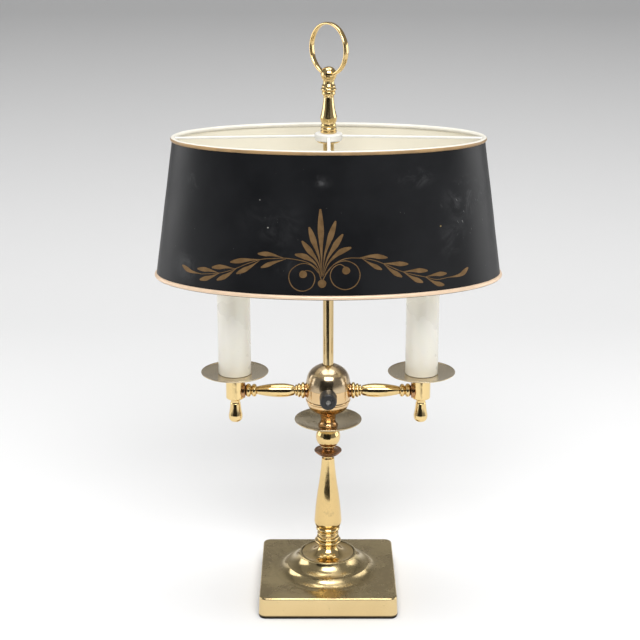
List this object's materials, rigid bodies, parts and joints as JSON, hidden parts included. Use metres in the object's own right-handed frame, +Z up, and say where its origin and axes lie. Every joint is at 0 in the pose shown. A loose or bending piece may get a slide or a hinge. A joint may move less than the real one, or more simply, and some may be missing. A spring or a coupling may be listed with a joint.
{
  "type": "bouillotte lamp",
  "caption": "Brass table lamp with turned column on a square domed base, arms with candle-style lights, rotary switch and an oval black metal shade under a ring-handled finial.",
  "frame": {"origin": "centre of the felt pad's underside, on the column's axis", "axes": "+Z up along the column, -Y to the front where the switch knob is, +X to the viewer's right along the right arm"},
  "size_m": [0.3306, 0.1754, 0.5675],
  "materials": {
    "felt": "pressed felt",
    "brass_aged": "aged, tarnished to grey-brown",
    "brass": "polished, lightly worn",
    "cast_iron": "raw casting",
    "steel": "zinc plated",
    "black_plastic": "satin gloss",
    "phenolic": "moulded phenolic",
    "wire_nut_plastic": "moulded, ribbed",
    "tole_black": "satin black paint, white inside, tan laurel ornament in front",
    "rim_gold": "pale gold paint, worn",
    "rim_cream": "cream enamel, gold paint on the outer lower edge",
    "spider_white": "white enamel",
    "candle_cream": "satin gloss",
    "porcelain": "glazed",
    "brass_shell": "pressed sheet",
    "nickel": "nickel plated",
    "bulb_glass": "clear",
    "filament": "glass stem with wires",
    "lead_insulation": "woven-look insulation"
  },
  "bodies": {
    "lamp": {"felt_pad": "felt", "base_shell": "brass_aged", "base_weight": "cast_iron", "base_washer": "steel", "base_locknut": "steel", "central_pipe": "steel", "cord_bushing": "black_plastic", "bell_foot": "brass", "vase": "brass", "collar_disc": "brass", "ball_knop": "brass", "drip_saucer": "brass_aged", "spool_neck": "brass", "body_bowl": "brass", "body_band": "brass", "dome_cap": "brass_aged", "body_locknut": "steel", "hickey": "steel", "wire_nuts": "wire_nut_plastic", "switch_housing": "phenolic", "switch_cover": "phenolic", "switch_bushing": "nickel", "switch_nut": "nickel", "stem_tube": "brass", "tie_rod": "steel", "seat_nut": "brass", "arm_right": "brass", "cup_right": "brass", "candle_pan_right": "brass_aged", "arm_left": "brass", "cup_left": "brass", "candle_pan_left": "brass_aged", "arm_nipples": "steel", "arm_locknuts": "steel", "drop_finials": "brass", "candle_sleeve_right": "candle_cream", "candle_sleeve_left": "candle_cream", "socket_nipples": "steel", "socket_locknuts": "steel", "socket_brackets": "steel", "socket_insulators": "porcelain", "screw_shells": "brass_shell", "centre_contacts": "brass_shell", "arm_leads": "lead_insulation"},
    "switch": {"switch_shaft": "steel", "switch_knob": "black_plastic", "switch_rotor": "phenolic"},
    "shade": {"shade_shell": "tole_black", "shade_bottom_rim": "rim_gold", "shade_top_rim": "rim_cream", "shade_hub": "spider_white", "spider_bars": "spider_white"},
    "finial": {"finial_body": "brass", "finial_ring": "brass"},
    "bulb_right": {"bulb_glass_right": "bulb_glass", "bulb_cap_right": "nickel", "bulb_filament_right": "filament"},
    "bulb_left": {"bulb_glass_left": "bulb_glass", "bulb_cap_left": "nickel", "bulb_filament_left": "filament"}
  },
  "joints": [
    {"name": "switch_turn", "type": "hinge", "parent": "lamp", "child": "switch", "pos_m": [0, -0.03, 0.2133], "axis": [0, -1, 0], "continuous": true},
    {"name": "shade_swivel", "type": "hinge", "parent": "lamp", "child": "shade", "pos_m": [0, 0, 0.461], "axis": [0, 0, 1], "range_deg": [-30, 30]},
    {"name": "finial_turn", "type": "hinge", "parent": "lamp", "child": "finial", "pos_m": [0, 0, 0.4755], "axis": [0, 0, 1], "continuous": true},
    {"name": "bulb_right_turn", "type": "hinge", "parent": "lamp", "child": "bulb_right", "pos_m": [0.0907, 0, 0.311], "axis": [0, 0, 1], "continuous": true},
    {"name": "bulb_left_turn", "type": "hinge", "parent": "lamp", "child": "bulb_left", "pos_m": [-0.0907, 0, 0.311], "axis": [0, 0, 1], "continuous": true}
  ]
}
